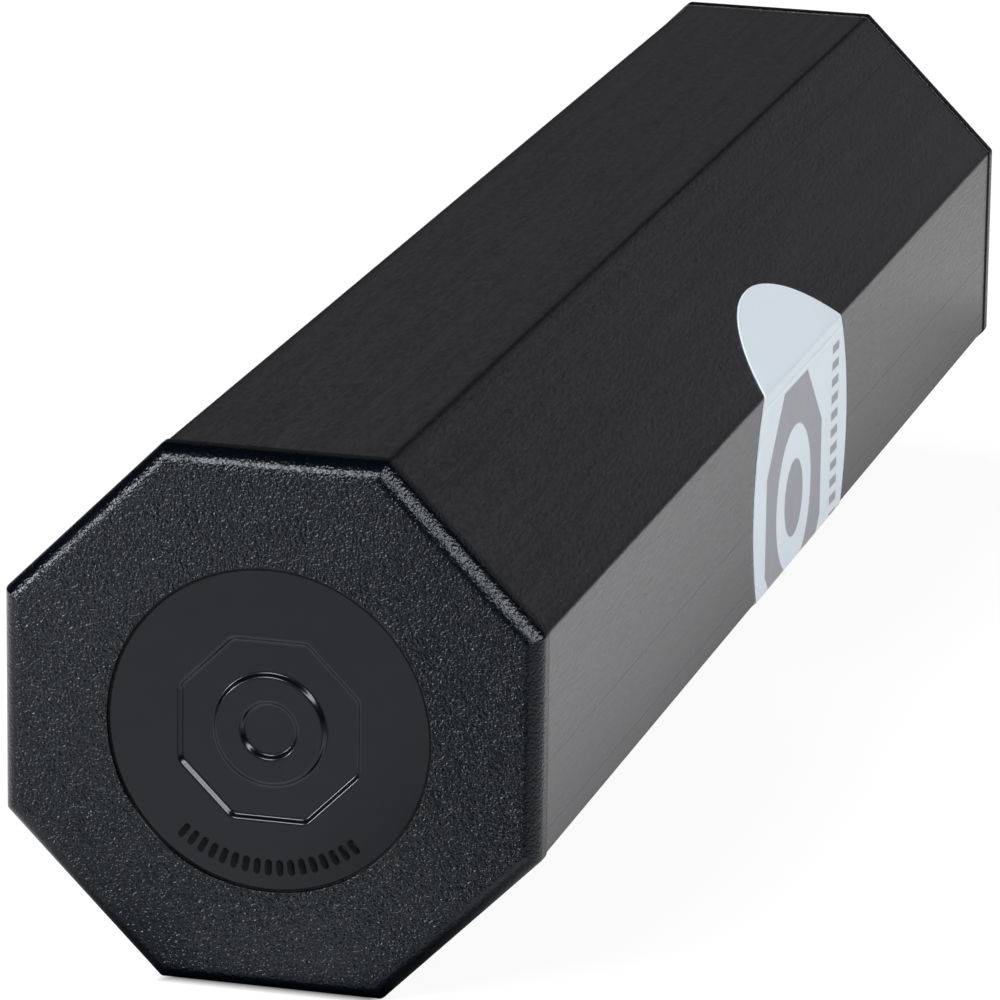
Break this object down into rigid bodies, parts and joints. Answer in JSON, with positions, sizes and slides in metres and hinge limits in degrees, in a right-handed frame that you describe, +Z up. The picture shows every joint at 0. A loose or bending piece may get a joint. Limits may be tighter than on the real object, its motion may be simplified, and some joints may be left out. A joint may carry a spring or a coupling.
{
  "type": "percussion shaker",
  "caption": "Octagonal hand shaker: a black anodised tube with moulded end caps, a round label and loose steel fill that runs along it.",
  "frame": {"origin": "on the surface that the shaker lies on, under the middle of the tube", "axes": "+Y along the tube, from the front cap to the rear cap; +X out through the flat with the label; +Z up"},
  "size_m": [0.0502, 0.198, 0.0503],
  "materials": {
    "tube_finish": "black anodised, satin, drawn lengthwise",
    "cap_finish": "black, fine spark-eroded grain, with a smooth disc",
    "label_finish": "pale blue-white vinyl with grey print",
    "bead_finish": "plain steel shot"
  },
  "bodies": {
    "shell": {"tube": "tube_finish", "front_cap": "cap_finish", "rear_cap": "cap_finish", "round_label": "label_finish"},
    "run_1": {"bead_1_01": "bead_finish"},
    "bead_1_02": {"bead_1_02": "bead_finish"},
    "bead_1_03": {"bead_1_03": "bead_finish"},
    "bead_1_04": {"bead_1_04": "bead_finish"},
    "bead_1_05": {"bead_1_05": "bead_finish"},
    "bead_1_06": {"bead_1_06": "bead_finish"},
    "bead_1_07": {"bead_1_07": "bead_finish"},
    "bead_1_08": {"bead_1_08": "bead_finish"},
    "bead_1_09": {"bead_1_09": "bead_finish"},
    "bead_1_10": {"bead_1_10": "bead_finish"},
    "bead_1_11": {"bead_1_11": "bead_finish"},
    "bead_1_12": {"bead_1_12": "bead_finish"},
    "run_2": {"bead_2_01": "bead_finish"},
    "bead_2_02": {"bead_2_02": "bead_finish"},
    "bead_2_03": {"bead_2_03": "bead_finish"},
    "bead_2_04": {"bead_2_04": "bead_finish"},
    "bead_2_05": {"bead_2_05": "bead_finish"},
    "bead_2_06": {"bead_2_06": "bead_finish"},
    "bead_2_07": {"bead_2_07": "bead_finish"},
    "bead_2_08": {"bead_2_08": "bead_finish"},
    "bead_2_09": {"bead_2_09": "bead_finish"},
    "bead_2_10": {"bead_2_10": "bead_finish"},
    "bead_2_11": {"bead_2_11": "bead_finish"},
    "bead_2_12": {"bead_2_12": "bead_finish"},
    "run_3": {"bead_3_01": "bead_finish"},
    "bead_3_02": {"bead_3_02": "bead_finish"},
    "bead_3_03": {"bead_3_03": "bead_finish"},
    "bead_3_04": {"bead_3_04": "bead_finish"},
    "bead_3_05": {"bead_3_05": "bead_finish"},
    "bead_3_06": {"bead_3_06": "bead_finish"},
    "bead_3_07": {"bead_3_07": "bead_finish"},
    "bead_3_08": {"bead_3_08": "bead_finish"},
    "bead_3_09": {"bead_3_09": "bead_finish"},
    "bead_3_10": {"bead_3_10": "bead_finish"},
    "bead_3_11": {"bead_3_11": "bead_finish"},
    "bead_3_12": {"bead_3_12": "bead_finish"},
    "run_4": {"bead_4_01": "bead_finish"},
    "bead_4_02": {"bead_4_02": "bead_finish"},
    "bead_4_03": {"bead_4_03": "bead_finish"},
    "bead_4_04": {"bead_4_04": "bead_finish"},
    "bead_4_05": {"bead_4_05": "bead_finish"},
    "bead_4_06": {"bead_4_06": "bead_finish"},
    "bead_4_07": {"bead_4_07": "bead_finish"},
    "bead_4_08": {"bead_4_08": "bead_finish"},
    "bead_4_09": {"bead_4_09": "bead_finish"},
    "bead_4_10": {"bead_4_10": "bead_finish"},
    "bead_4_11": {"bead_4_11": "bead_finish"},
    "bead_4_12": {"bead_4_12": "bead_finish"}
  },
  "joints": [
    {"name": "run_1_along", "type": "slide", "parent": "shell", "child": "run_1", "axis": [0, 1, 0], "range_m": [-0.0444, 0.0444]},
    {"name": "toss_1_02", "type": "slide", "parent": "run_1", "child": "bead_1_02", "axis": [0, 0, 1], "range_m": [0, 0.0419]},
    {"name": "toss_1_03", "type": "slide", "parent": "run_1", "child": "bead_1_03", "axis": [0, 0, 1], "range_m": [0, 0.0419]},
    {"name": "toss_1_04", "type": "slide", "parent": "run_1", "child": "bead_1_04", "axis": [0, 0, 1], "range_m": [0, 0.0419]},
    {"name": "toss_1_05", "type": "slide", "parent": "run_1", "child": "bead_1_05", "axis": [0, 0, 1], "range_m": [0, 0.0419]},
    {"name": "toss_1_06", "type": "slide", "parent": "run_1", "child": "bead_1_06", "axis": [0, 0, 1], "range_m": [0, 0.0419]},
    {"name": "toss_1_07", "type": "slide", "parent": "run_1", "child": "bead_1_07", "axis": [0, 0, 1], "range_m": [0, 0.0419]},
    {"name": "toss_1_08", "type": "slide", "parent": "run_1", "child": "bead_1_08", "axis": [0, 0, 1], "range_m": [0, 0.0419]},
    {"name": "toss_1_09", "type": "slide", "parent": "run_1", "child": "bead_1_09", "axis": [0, 0, 1], "range_m": [0, 0.0419]},
    {"name": "toss_1_10", "type": "slide", "parent": "run_1", "child": "bead_1_10", "axis": [0, 0, 1], "range_m": [0, 0.0419]},
    {"name": "toss_1_11", "type": "slide", "parent": "run_1", "child": "bead_1_11", "axis": [0, 0, 1], "range_m": [0, 0.0419]},
    {"name": "toss_1_12", "type": "slide", "parent": "run_1", "child": "bead_1_12", "axis": [0, 0, 1], "range_m": [0, 0.0419]},
    {"name": "run_2_along", "type": "slide", "parent": "shell", "child": "run_2", "axis": [0, 1, 0], "range_m": [-0.0444, 0.0444]},
    {"name": "toss_2_02", "type": "slide", "parent": "run_2", "child": "bead_2_02", "axis": [0, 0, 1], "range_m": [0, 0.0419]},
    {"name": "toss_2_03", "type": "slide", "parent": "run_2", "child": "bead_2_03", "axis": [0, 0, 1], "range_m": [0, 0.0419]},
    {"name": "toss_2_04", "type": "slide", "parent": "run_2", "child": "bead_2_04", "axis": [0, 0, 1], "range_m": [0, 0.0419]},
    {"name": "toss_2_05", "type": "slide", "parent": "run_2", "child": "bead_2_05", "axis": [0, 0, 1], "range_m": [0, 0.0419]},
    {"name": "toss_2_06", "type": "slide", "parent": "run_2", "child": "bead_2_06", "axis": [0, 0, 1], "range_m": [0, 0.0419]},
    {"name": "toss_2_07", "type": "slide", "parent": "run_2", "child": "bead_2_07", "axis": [0, 0, 1], "range_m": [0, 0.0419]},
    {"name": "toss_2_08", "type": "slide", "parent": "run_2", "child": "bead_2_08", "axis": [0, 0, 1], "range_m": [0, 0.0419]},
    {"name": "toss_2_09", "type": "slide", "parent": "run_2", "child": "bead_2_09", "axis": [0, 0, 1], "range_m": [0, 0.0419]},
    {"name": "toss_2_10", "type": "slide", "parent": "run_2", "child": "bead_2_10", "axis": [0, 0, 1], "range_m": [0, 0.0419]},
    {"name": "toss_2_11", "type": "slide", "parent": "run_2", "child": "bead_2_11", "axis": [0, 0, 1], "range_m": [0, 0.0419]},
    {"name": "toss_2_12", "type": "slide", "parent": "run_2", "child": "bead_2_12", "axis": [0, 0, 1], "range_m": [0, 0.0419]},
    {"name": "run_3_along", "type": "slide", "parent": "shell", "child": "run_3", "axis": [0, 1, 0], "range_m": [-0.0444, 0.0444]},
    {"name": "toss_3_02", "type": "slide", "parent": "run_3", "child": "bead_3_02", "axis": [0, 0, 1], "range_m": [0, 0.0419]},
    {"name": "toss_3_03", "type": "slide", "parent": "run_3", "child": "bead_3_03", "axis": [0, 0, 1], "range_m": [0, 0.0419]},
    {"name": "toss_3_04", "type": "slide", "parent": "run_3", "child": "bead_3_04", "axis": [0, 0, 1], "range_m": [0, 0.0419]},
    {"name": "toss_3_05", "type": "slide", "parent": "run_3", "child": "bead_3_05", "axis": [0, 0, 1], "range_m": [0, 0.0419]},
    {"name": "toss_3_06", "type": "slide", "parent": "run_3", "child": "bead_3_06", "axis": [0, 0, 1], "range_m": [0, 0.0419]},
    {"name": "toss_3_07", "type": "slide", "parent": "run_3", "child": "bead_3_07", "axis": [0, 0, 1], "range_m": [0, 0.0419]},
    {"name": "toss_3_08", "type": "slide", "parent": "run_3", "child": "bead_3_08", "axis": [0, 0, 1], "range_m": [0, 0.0419]},
    {"name": "toss_3_09", "type": "slide", "parent": "run_3", "child": "bead_3_09", "axis": [0, 0, 1], "range_m": [0, 0.0419]},
    {"name": "toss_3_10", "type": "slide", "parent": "run_3", "child": "bead_3_10", "axis": [0, 0, 1], "range_m": [0, 0.0419]},
    {"name": "toss_3_11", "type": "slide", "parent": "run_3", "child": "bead_3_11", "axis": [0, 0, 1], "range_m": [0, 0.0419]},
    {"name": "toss_3_12", "type": "slide", "parent": "run_3", "child": "bead_3_12", "axis": [0, 0, 1], "range_m": [0, 0.0419]},
    {"name": "run_4_along", "type": "slide", "parent": "shell", "child": "run_4", "axis": [0, 1, 0], "range_m": [-0.0444, 0.0444]},
    {"name": "toss_4_02", "type": "slide", "parent": "run_4", "child": "bead_4_02", "axis": [0, 0, 1], "range_m": [0, 0.0419]},
    {"name": "toss_4_03", "type": "slide", "parent": "run_4", "child": "bead_4_03", "axis": [0, 0, 1], "range_m": [0, 0.0419]},
    {"name": "toss_4_04", "type": "slide", "parent": "run_4", "child": "bead_4_04", "axis": [0, 0, 1], "range_m": [0, 0.0419]},
    {"name": "toss_4_05", "type": "slide", "parent": "run_4", "child": "bead_4_05", "axis": [0, 0, 1], "range_m": [0, 0.0419]},
    {"name": "toss_4_06", "type": "slide", "parent": "run_4", "child": "bead_4_06", "axis": [0, 0, 1], "range_m": [0, 0.0419]},
    {"name": "toss_4_07", "type": "slide", "parent": "run_4", "child": "bead_4_07", "axis": [0, 0, 1], "range_m": [0, 0.0419]},
    {"name": "toss_4_08", "type": "slide", "parent": "run_4", "child": "bead_4_08", "axis": [0, 0, 1], "range_m": [0, 0.0419]},
    {"name": "toss_4_09", "type": "slide", "parent": "run_4", "child": "bead_4_09", "axis": [0, 0, 1], "range_m": [0, 0.0419]},
    {"name": "toss_4_10", "type": "slide", "parent": "run_4", "child": "bead_4_10", "axis": [0, 0, 1], "range_m": [0, 0.0419]},
    {"name": "toss_4_11", "type": "slide", "parent": "run_4", "child": "bead_4_11", "axis": [0, 0, 1], "range_m": [0, 0.0419]},
    {"name": "toss_4_12", "type": "slide", "parent": "run_4", "child": "bead_4_12", "axis": [0, 0, 1], "range_m": [0, 0.0419]}
  ]
}
